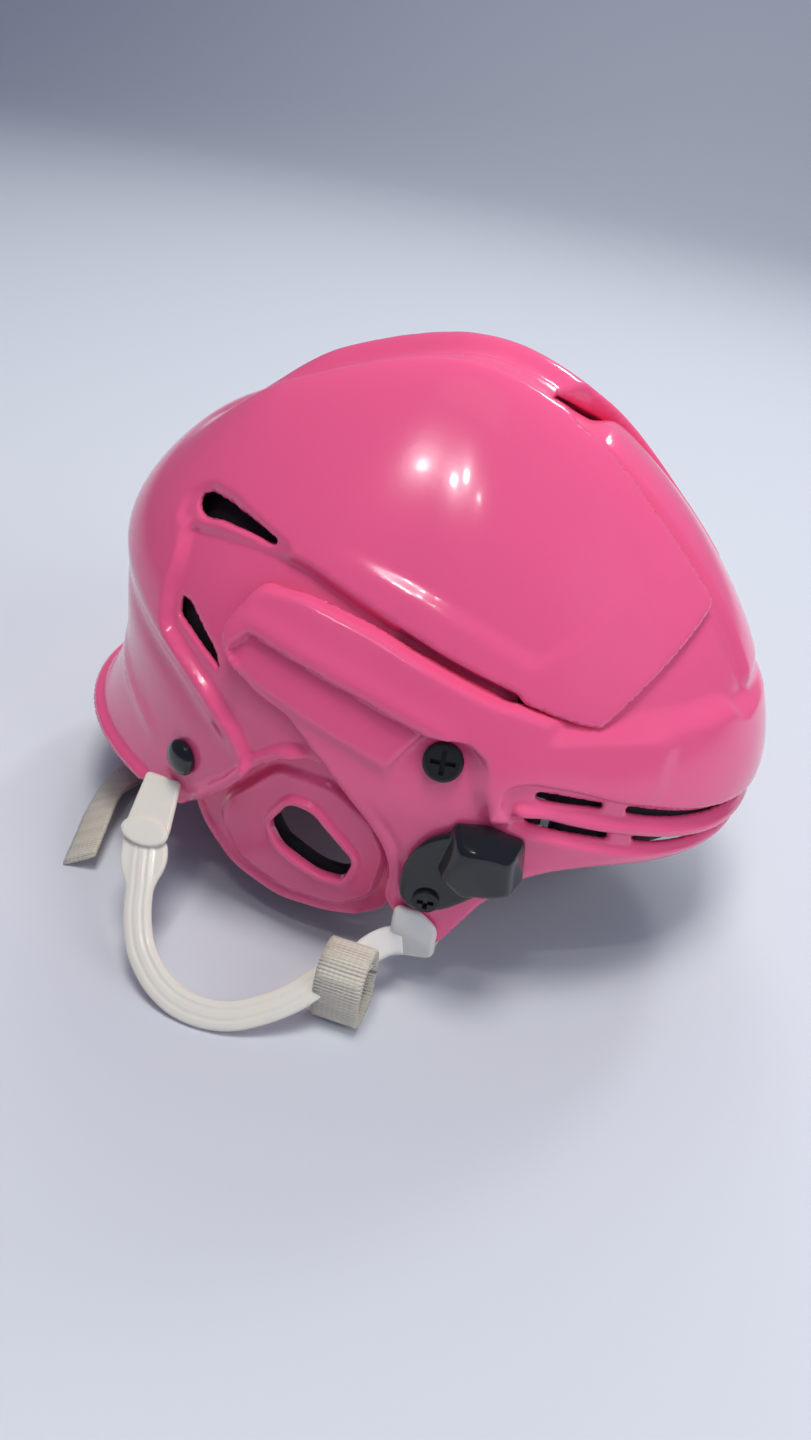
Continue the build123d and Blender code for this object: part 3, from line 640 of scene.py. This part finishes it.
for name, body, field, low, high in (
        ("front_pad", "front", pad_field(side_view(front_pad), front_pad_level, 11),
         (52, -94, 50), (130, 94, 99)),
        ("upper_front_pad", "front", pad_field(side_view(upper_front_pad), -6.5, 13),
         (59, -82, 94), (122, 82, 160)),
        ("rear_pad", "rear", pad_field(side_view(rear_pad), -4.6, 12), (-122, -90, 54), (-66, 90, 154)),
        ("crown_pad", "rear", pad_field(plan_view(crown_pad), -7.6, 13), (-76, -66, 116), (6, 66, 190)),
        ("front_crown_pad", "front", pad_field(plan_view(front_crown_pad), -10.8, 13),
         (8, -30, 118), (62, 30, 186))):
    dress(solid(name + "_looks", field, low, high, 2.0), foam, body, "liner_foam", name)

for name, body, field, low, high in (
        ("ear_foam", "rear", pad_field(around_ear_hole, -9.3, 5, SIDE_PAD_ROUNDING, True),
         (-44, -94, 20), (17, -66, 70)),
        ("side_pad", "rear", side_pad_field, (-81, -96, 80), (58, -30, 147)),
        ("temple_pad", "front", pad_field(side_view(temple_pad), -4.8, 6, SIDE_PAD_ROUNDING, True),
         (27, -96, 33), (66, -64, 78))):
    right_pad = solid(name + "_looks_right", field, low, high, 1.6)
    for piece in dress_pair(right_pad, foam, body, "liner_foam", name):
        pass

# Straps: small lines and their directions


def unit(vectors):
    return vectors / np.linalg.norm(vectors, axis=1)[:, None]


def square_to(ahead, across):
    """The directions across, turned square to the line."""
    return unit(across - ahead * (across * ahead).sum(1)[:, None])


def run_lengths(line):
    """How far along a line each of its points is."""
    return np.concatenate([[0], np.cumsum(np.linalg.norm(np.diff(line, axis=0), axis=1))])


def curve_through(points, count):
    """Points along a smooth line through a few places."""
    p = np.array(points, float)
    p = np.vstack([2 * p[0] - p[1], p, 2 * p[-1] - p[-2]])
    made = []
    for a, b, c, d in zip(p[:-3], p[1:-2], p[2:-1], p[3:]):
        for t in np.arange(count) / count:
            made.append(0.5 * (2 * b + (c - a) * t + (2 * a - 5 * b + 4 * c - d) * t ** 2
                               + (3 * b - a - 3 * c + d) * t ** 3))
    return np.array(made + [p[-2]])


# Moulded tab and ear loop, in a leaning plane of their own: u forwards, v upwards, w outwards

LOOP_PLACE = Matrix(((1, 0, 0, -66.0), (0, 0.8, -0.6, -85.0), (0, 0.6, 0.8, 44.8), (0, 0, 0, 1)))
LOOP_BOX = ((-20, -80), (90, 12))
LOOP_HALF_WIDTH, LOOP_HALF_DEPTH, LOOP_BACK, LOOP_EDGE, LOOP_GROOVE = 4.8, 1.4, 1.3, 0.45, 0.4
BUTTON_AT, BUTTON_HALF_SIZES, BUTTON_W, BUTTON_HALF_DEPTH = (0.3, -18.4), (8.7, 4.9), 2.35, 0.95
TAB_HALF_DEPTH, TAB_BEND = 1.1, 1.6

loop_line = curve_through([(1.0, -22), (3.4, -30), (5.6, -36.5), (7.6, -43), (10.6, -49.6), (15, -56.2),
                           (22.3, -62.6), (31, -66.8), (40.7, -68.0), (50.4, -66.2), (59.6, -61.2),
                           (67.3, -55.0), (73.4, -48.0)], 4)
tab_shape = Outline([(-8.4, 3.0), (5.0, 2.2), (8.3, -17.6), (-8.2, -17.6)], 1.6, *LOOP_BOX)
boss_shape = Outline([(-8.0, -18.6), (8.6, -18.6), (11.6, -26.5), (10.4, -33.5), (9.0, -38.0), (2.0, -38.0),
                      (-4.2, -31.6)], 3.5, *LOOP_BOX)


def loop_field(u, v, w):
    """A loop with a groove on each side of its middle rib, from a wider boss with an oval button on it."""
    away = line_distance(loop_line, u, v)
    shape = smooth_min(away - LOOP_HALF_WIDTH, boss_shape(u, v), 1.5)
    half = LOOP_HALF_DEPTH - LOOP_EDGE * rise(away, 1.9, 4.9) - LOOP_GROOVE * ridge(away, 1.7, 0.35)
    half = mix(half, LOOP_BACK, rise(w, -0.4, -0.9))
    body = smooth_max(np.abs(w) - half, shape, 1.1)
    wide, high = BUTTON_HALF_SIZES
    oval = np.hypot((u - BUTTON_AT[0]) / wide, (v - BUTTON_AT[1]) / high)
    button = smooth_max((oval - 1) * high, np.abs(w - BUTTON_W) - BUTTON_HALF_DEPTH, 1.0)
    return smooth_min(body, button, 0.3)


def tab_field(u, v, w):
    """A flat tab whose upper end bends inwards under the shell."""
    bend = TAB_BEND * rise(v, 0.2, 3.6) ** 2
    return smooth_max(np.abs(w + bend + 0.05) - TAB_HALF_DEPTH, tab_shape(u, v), 1.2)


def local_solid(name, field, low, high, step, place):
    """A solid made in a plane of its own and then put in its place."""
    ob = solid(name, field, low, high, step)
    ob.data.transform(Matrix.Scale(MM, 4) @ place @ Matrix.Scale(1 / MM, 4))
    return ob


loop = local_solid("ear_loop_looks_right", loop_field, (-14, -78, -3), (84, -10, 5), 0.55, LOOP_PLACE)
tab = local_solid("strap_tab_looks_right", tab_field, (-12, -21, -5), (12, 7, 3), 0.6, LOOP_PLACE)
dress_pair(loop, vinyl, "rear", "clear_vinyl", "ear_loop")
dress_pair(tab, vinyl, "rear", "clear_vinyl", "strap_tab")

# Webbing strips

WEBBING_EDGE = 0.55     # how much thinner a strip is at its edges
STRIP_POINTS = 9
KEEPER_WIDTH, KEEPER_THICKNESS, CHIN_WIDTH, CHIN_THICKNESS = 16.0, 1.5, 14.0, 1.4
KEEPER_AT, KEEPER_HALF_DEPTH, KEEPER_HALF_HEIGHT, KEEPER_SQUARENESS = (15.0, -117.0, 13.6), 9.1, 12.7, 2.9
CHIN_TURN, CHIN_LIFT = 0.55, 2.6


def strip(name, line, across, width, thickness, closed=False):
    """A strip along a line, with its own UV along and across it in millimetres. Gives its length too."""
    line, across = np.array(line, float), np.array(across, float)
    n = len(line)
    ahead = np.roll(line, -1, 0) - np.roll(line, 1, 0)
    if not closed:
        ahead[0], ahead[-1] = line[1] - line[0], line[-1] - line[-2]
    ahead = unit(ahead)
    across = square_to(ahead, across)
    up = np.cross(ahead, across)
    far = run_lengths(line)
    profile = [(s * width / 2, thickness / 2 * (1 - WEBBING_EDGE * abs(s) ** 10))
               for s in np.linspace(-1, 1, STRIP_POINTS)]
    profile += [(a, -b) for a, b in reversed(profile)]
    m = len(profile)
    verts = [line[i] + across[i] * a + up[i] * b for i in range(n) for a, b in profile]
    faces = []
    for i in range(n if closed else n - 1):
        j = (i + 1) % n
        for k in range(m):
            faces.append((i * m + k, i * m + (k + 1) % m, j * m + (k + 1) % m, j * m + k))
    if not closed:
        faces += [tuple(range(m)), tuple((n - 1) * m + k for k in reversed(range(m)))]
    ob = mesh_object(name, verts, faces)
    uv = ob.data.uv_layers.new(name="strip")
    for corner in ob.data.loops:
        i, k = divmod(corner.vertex_index, m)
        uv.data[corner.index].uv = (far[i], profile[k][0])
    bm = bmesh.new()
    bm.from_mesh(ob.data)
    bmesh.ops.recalc_face_normals(bm, faces=bm.faces)
    bm.to_mesh(ob.data)
    bm.free()
    return ob, float(far[-1] + (np.linalg.norm(line[0] - line[-1]) if closed else 0))


def keeper_line():
    """The ring of webbing, a rounded oblong in a plane across the loop."""
    x, y, z = KEEPER_AT
    power = KEEPER_SQUARENESS
    made = []
    for turn in np.linspace(0, 2 * math.pi, 72, endpoint=False):
        c, s = math.cos(turn), math.sin(turn)
        r = (abs(c) ** power + abs(s) ** power) ** (-1 / power)
        made.append((x, y + KEEPER_HALF_DEPTH * r * c, z + KEEPER_HALF_HEIGHT * r * s))
    return made


ring_line = keeper_line()
ring_across = [(1, 0, 0)] * (len(ring_line) + 1)
keeper, ring_length = strip("strap_keeper_looks_right", ring_line, ring_across[1:], KEEPER_WIDTH,
                            KEEPER_THICKNESS, True)
for piece, side in zip(dress_pair(keeper, cream, "rear", "webbing", "strap_keeper"), ("right", "left")):
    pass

# The chin strap lies on the ground, and leans on its edge where it turns under the nape
chin_line = curve_through([(15, 108.0, 0.8), (14, 98, 0.8), (8, 86, 0.8), (-4, 76, 0.8), (-30, 66, 0.8),
                           (-66, 46, 0.8), (-92, 16, 0.8), (-106, -20, 0.8), (-108, -42, 1.2),
                           (-105.5, -60, 2.6), (-101, -76, 3.2), (-97, -92, 1.6)], 10)
lean = np.clip((-34 - chin_line[:, 1]) / 22, 0, 1)
chin_across = unit(np.stack([-np.gradient(chin_line[:, 1]), np.gradient(chin_line[:, 0]),
                             np.zeros(len(chin_line))], 1))
chin_across = chin_across + np.array([0, 0, CHIN_TURN]) * lean[:, None]
chin_line[:, 2] += CHIN_LIFT * lean
chin, chin_length = strip("chin_strap_looks", chin_line, chin_across, CHIN_WIDTH, CHIN_THICKNESS)
dress(chin, cream, "rear", "webbing", "chin_strap")

# Strap anchors: white vinyl folded round the temple's lower end, with a tail to the webbing

FOLD_FULLNESS, FOLD_OUTER, FOLD_INNER, FOLD_TOP_Z = 1.4, 1.1, 1.0, 16.9
TAIL_WIDTH, TAIL_THICKNESS, TAIL_ACROSS = 9.6, 1.8, (0.62, -0.42, -0.66)

wrap = Outline([(23.2, 34.5), (31.5, 33.5), (38.5, 27), (38.5, 14), (25.5, 13), (23.2, 16)], 3.0)
tail_line = curve_through([(28, -98.9, 21.5), (23.5, -100.6, 20.6), (19.5, -104.6, 19.2),
                           (17.0, -109.5, 17.6), (15.6, -114.8, 16.4)], 8)


def anchor_field(x, y, z):
    """An outer and an inner layer joined by a fold under the shell, the outer one fuller in its middle."""
    d = dome(x, y, z)
    shape = wrap(x, z)
    full = FOLD_FULLNESS * smoothstep(1 - np.abs(z - 24.0 + 0.5 * (x - 31.0)) / 11.0) / 2
    outer = smooth_max(np.abs(d - 1.4 - full) - FOLD_OUTER - full, shape, 1.6)
    inner = smooth_max(np.abs(d + 4.1) - FOLD_INNER, shape, 1.4)
    fold = smooth_max(smooth_max(np.abs(d + 1.4) - 3.6, shape, 1.6), z - FOLD_TOP_Z, 0.8)
    return smooth_max(smooth_min(smooth_min(outer, fold, 1.0), inner, 1.0), y + 40.0, 1.0)


anchor = solid("strap_anchor_looks_right", anchor_field, (20, -106, 10), (42, -84, 38), 0.6)
dress_pair(anchor, white, "front", "white_vinyl", "strap_anchor")
tail, _ = strip("strap_anchor_tail_right", tail_line, [TAIL_ACROSS] * len(tail_line), TAIL_WIDTH,
                TAIL_THICKNESS)
dress_pair(tail, white, "front", "white_vinyl")

# Ribs woven across the webbing

RIB_PITCH, RIB_SHARE, RIB_STANDS, RIB_INSET = 1.3, 0.44, 0.14, 0.4


def rib_tree():
    """Geometry nodes: one flattened rib on each point, turned by the point's own directions."""
    if "webbing_ribs" in bpy.data.node_groups:
        return bpy.data.node_groups["webbing_ribs"]
    tree = bpy.data.node_groups.new("webbing_ribs", "GeometryNodeTree")
    face = tree.interface
    face.new_socket("Geometry", in_out="INPUT", socket_type="NodeSocketGeometry")
    for label in ("Half width", "Half height", "Rib length"):
        face.new_socket(label, in_out="INPUT", socket_type="NodeSocketFloat")
    face.new_socket("Material", in_out="INPUT", socket_type="NodeSocketMaterial")
    face.new_socket("Geometry", in_out="OUTPUT", socket_type="NodeSocketGeometry")
    into, out = tree.nodes.new("NodeGroupInput"), tree.nodes.new("NodeGroupOutput")
    tube = add(tree, "GeometryNodeMeshCylinder", Vertices=8, Radius=1.0, Depth=2.0)
    laid = add(tree, "GeometryNodeTransform", Rotation=(0, math.pi / 2, 0))
    size = tree.nodes.new("ShaderNodeCombineXYZ")
    turns = []
    for label, axis, pivot in (("across", "X", "AUTO"), ("up", "Z", "X")):
        named = tree.nodes.new("GeometryNodeInputNamedAttribute")
        named.data_type = "FLOAT_VECTOR"
        fill(named, Name=label)
        turn = tree.nodes.new("FunctionNodeAlignRotationToVector")
        turn.axis, turn.pivot_axis = axis, pivot
        tree.links.new(named.outputs["Attribute"], turn.inputs["Vector"])
        turns.append(turn)
    spread = tree.nodes.new("GeometryNodeInstanceOnPoints")
    real = tree.nodes.new("GeometryNodeRealizeInstances")
    smooth = tree.nodes.new("GeometryNodeSetShadeSmooth")
    paint = tree.nodes.new("GeometryNodeSetMaterial")
    for start, output, end, given in (
            (into, "Half width", size, "X"), (into, "Rib length", size, "Y"),
            (into, "Half height", size, "Z"), (turns[0], "Rotation", turns[1], "Rotation"),
            (tube, "Mesh", laid, "Geometry"),
            (into, "Geometry", spread, "Points"), (laid, "Geometry", spread, "Instance"),
            (turns[1], "Rotation", spread, "Rotation"), (size, "Vector", spread, "Scale"),
            (spread, "Instances", real, "Geometry"), (real, "Geometry", smooth, "Geometry"),
            (smooth, "Geometry", paint, "Geometry"), (into, "Material", paint, "Material"),
            (paint, "Geometry", out, "Geometry")):
        tree.links.new(start.outputs[output], end.inputs[given])
    return tree


def ribbed(name, line, across, width, thickness):
    """Woven ribs across a strip, set along it by geometry nodes and kept as a plain mesh."""
    line, across = np.array(line, float), np.array(across, float)
    far = run_lengths(line)
    marks = np.arange(RIB_PITCH, far[-1] - RIB_PITCH, RIB_PITCH)
    at, side = (np.stack([np.interp(marks, far, values[:, i]) for i in range(3)], 1)
                for values in (line, across))
    ahead = unit(np.gradient(at, axis=0))
    side = square_to(ahead, side)
    holder = mesh_object(name + "_points", at, [])
    for label, values in (("across", side), ("up", np.cross(ahead, side))):
        kept = holder.data.attributes.new(label, "FLOAT_VECTOR", "POINT")
        kept.data.foreach_set("vector", values.astype(np.float32).ravel())
    modifier = holder.modifiers.new("ribs", "NODES")
    modifier.node_group = rib_tree()
    given = {"Half width": (width / 2 - RIB_INSET) * MM, "Half height": (thickness / 2 + RIB_STANDS) * MM,
             "Rib length": RIB_PITCH * RIB_SHARE * MM, "Material": cream}
    for item in modifier.node_group.interface.items_tree:
        if item.name in given:
            modifier[item.identifier] = given[item.name]
    graph = bpy.context.evaluated_depsgraph_get()
    mesh = bpy.data.meshes.new_from_object(holder.evaluated_get(graph))
    holder.modifiers.clear()
    bpy.data.objects.remove(holder)
    mesh.name = name
    return placed(name, mesh)


ring_ribs = ribbed("strap_keeper_ribs_right", ring_line + ring_line[:1], ring_across, KEEPER_WIDTH,
                   KEEPER_THICKNESS)
dress_pair(ring_ribs, cream, "rear", "webbing")
chin_ribs = ribbed("chin_strap_ribs", chin_line, chin_across, CHIN_WIDTH, CHIN_THICKNESS)
dress(chin_ribs, cream, "rear", "webbing")

# Studs, turned about their own axis

STUD_AT, STUD_OUT = (-60.6, -83.0, 57.2), (-0.429, -0.9, 0.077)
STUD_HEAD, STUD_HEAD_HEIGHT = 6.5, 3.9
STUD_SHANK = [(3.0, -8.6), (3.0, -6.9), (1.8, -6.9), (1.8, 0.1), (5.4, 0.1), (6.3, 0.5)]
LATHE_POINTS = 40


def lathe(name, profile, centre, outwards):
    """A turned piece from (radius, height) points, on an origin and a direction."""
    origin, turn = Vector(centre), Vector(outwards).normalized().to_track_quat("Z", "Y")
    count = LATHE_POINTS
    verts, faces = [], []
    for r, h in profile:
        for k in range(count):
            a = 2 * math.pi * k / count
            verts.append(origin + turn @ Vector((r * math.cos(a), r * math.sin(a), h)))
    for i in range(len(profile) - 1):
        for k in range(count):
            n = (k + 1) % count
            faces.append((i * count + k, i * count + n, (i + 1) * count + n, (i + 1) * count + k))
    faces.append(tuple(reversed(range(count))))
    faces.append(tuple(range((len(profile) - 1) * count, len(profile) * count)))
    return mesh_object(name, verts, faces)


stud_profile = STUD_SHANK + [(STUD_HEAD * math.cos(a), 1.0 + STUD_HEAD_HEIGHT * math.sin(a))
                             for a in np.linspace(0.05, 1.53, 12)]
stud = lathe("ear_guard_stud_looks_right", stud_profile, STUD_AT, STUD_OUT)
dress_pair(stud, gloss_black, "rear", "black_gloss", "ear_guard_stud")

# Side clips: a plate on the temple and a faceted block with a socket for a guard's wire

PLATE_LEVEL, CLIP_GAP = 3.5, 0.3
SOCKET_AT, SOCKET_RADIUS, SOCKET_END, SOCKET_TILT = (0.2, 7.0), 2.5, 4.0, 0.034
CLIP_AT = (47.5, -90.97, 57.41)
CLIP_TOP = (-1.4, 10.8, 13.2)
# Each facet's outward direction and a point on it, forwards, upwards and outwards of CLIP_AT
CLIP_FACES = (
    ((0.08, -0.17, 0.982), CLIP_TOP), ((-0.376, 0.357, 0.855), CLIP_TOP), ((0.387, 0.045, 0.921), CLIP_TOP),
    ((0.0, 0.94, 0.34), (-3.0, 13.4, 6.0)), ((0.44, 0.86, 0.26), (6.0, 11.2, 5.0)),
    ((0.97, 0.1, 0.22), (11.8, 0.0, 4.0)), ((-0.86, 0.2, 0.47), (-12.0, 3.0, 6.0)),
    ((-0.62, -0.76, 0.2), (-11.0, -5.0, 4.0)), ((0.3, -0.94, 0.16), (2.0, -9.0, 4.0)))

clip_plate = Outline([(37, 69), (29, 64), (23.5, 53), (23.5, 40), (28, 34.5), (38, 35.5), (50, 45),
                      (52, 66)], 5.0)


def clip_field(x, y, z):
    d = dome(x, y, z)
    plate = smooth_max(smooth_max(d - PLATE_LEVEL, CLIP_GAP - d, 0.4), clip_plate(x, z), 2.2)
    dx, dy, dz = x - CLIP_AT[0], y - CLIP_AT[1], z - CLIP_AT[2]
    place = (dx + SOCKET_TILT * dy, dz - 0.01 * dy, SOCKET_TILT * dx - dy)
    block = CLIP_GAP - d
    for normal, at in CLIP_FACES:
        block = smooth_max(block, sum(n * (value - a) for n, value, a in zip(normal, place, at)), 2.0)
    forwards, upwards, outwards = place
    bore = np.hypot(forwards - SOCKET_AT[0], outwards - SOCKET_AT[1]) - SOCKET_RADIUS
    socket = smooth_max(bore, upwards - SOCKET_END, 0.3)
    return smooth_max(smooth_min(plate, block, 0.9), -socket, 0.5)


clip = solid("guard_clip_looks_right", clip_field, (19, -112, 30), (64, -84, 76), 0.6)
dress_pair(clip, clip_black, "front", "black_gloss", "guard_clip")

# Screws and nuts keep their CAD shape

for node, mat in (("size_nut", plated), ("clip_nut", plated), ("size_screw", coated), ("clip_screw", coated)):
    for side in ("right", "left"):
        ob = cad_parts[node + "_" + side]
        ob.data.materials.clear()
        ob.data.materials.append(mat)

# Floor, light and camera, in metres

FLOOR_START_Y, BEND_Y, BEND_RADIUS, BACK_TOP, FLOOR_HALF = -3.0, 1.9, 0.9, 4.0, 7.0
LIT_POINT = (0, 0, 0.1)
# Name, place, size, watts, colour, and whether the lamp is mirrored in the shell
LIGHTS = (
    ("key", (0.0, -0.18, 1.6), 0.5, 12.5, (1.0, 0.97, 0.93), False),
    ("fill", (1.35, -0.45, 0.95), 1.0, 8.0, (0.92, 0.95, 1.0), False),
    ("back", (-0.4, 1.3, 1.3), 0.5, 4, (1.0, 1.0, 1.0), False),
    ("wash", (0.0, 1.9, 2.0), 1.6, 14, (1.0, 1.0, 1.0), False),
    ("lamp_a", (-0.094, -0.669, 1.417), 0.04, 0.75, (1.0, 0.98, 0.95), True),
    ("lamp_b", (-0.19, -0.70, 1.393), 0.04, 0.75, (1.0, 0.98, 0.95), True),
    ("lamp_c", (0.053, -0.72, 1.389), 0.025, 0.25, (1.0, 0.98, 0.9), True),
    ("lamp_d", (0.369, 1.053, 1.03), 0.2, 3.0, (1.0, 1.0, 1.0), True))
CAMERA_AT = (0.074805, -0.363662, 0.279538)
CAMERA_TURN = (57.070, -7.539, 17.086)      # degrees about X, Y and Z
FOCAL_PIXELS, PHOTO_HEIGHT, SENSOR_HEIGHT = 1096.6, 1440, 36.0


def lay_backdrop():
    rows = [(FLOOR_START_Y, 0.0)]
    rows += [(BEND_Y + BEND_RADIUS * math.sin(a), BEND_RADIUS - BEND_RADIUS * math.cos(a))
             for a in np.linspace(0, math.pi / 2, 13)]
    rows += [(BEND_Y + BEND_RADIUS, BACK_TOP)]
    me = bpy.data.meshes.new("backdrop")
    me.from_pydata([(x, y, z) for y, z in rows for x in (-FLOOR_HALF, FLOOR_HALF)], [],
                   [(2 * i, 2 * i + 1, 2 * i + 3, 2 * i + 2) for i in range(len(rows) - 1)])
    me.polygons.foreach_set("use_smooth", [True] * len(me.polygons))
    me.materials.append(material("backdrop_pale", (0.68, 0.71, 0.76), 0.8, bump=0.1, scale=300))
    placed("backdrop", me)


def light():
    world = bpy.data.worlds.new("soft_studio")
    bpy.context.scene.world = world
    world.use_nodes = True
    fill(world.node_tree.nodes["Background"], Color=(0.50, 0.60, 0.95, 1), Strength=0.22)
    for name, place, size, watts, colour, mirrored_in_shell in LIGHTS:
        data = bpy.data.lights.new(name, "AREA")
        data.size, data.energy, data.color = size, watts, colour
        lamp = placed(name, data)
        lamp.location = place
        lamp.rotation_euler = (Vector(LIT_POINT) - Vector(place)).to_track_quat("-Z", "Y").to_euler()
        lamp.visible_glossy = mirrored_in_shell


def aim_camera():
    cam = bpy.data.cameras.new("camera")
    cam.sensor_fit = "VERTICAL"
    cam.sensor_height = SENSOR_HEIGHT
    cam.lens = FOCAL_PIXELS / PHOTO_HEIGHT * SENSOR_HEIGHT
    cam.clip_start = 0.01
    holder = placed("camera", cam)
    holder.location = CAMERA_AT
    holder.rotation_euler = [math.radians(a) for a in CAMERA_TURN]
    bpy.context.scene.camera = holder
    bpy.context.scene.view_settings.view_transform = "Standard"


lay_backdrop()
light()
aim_camera()
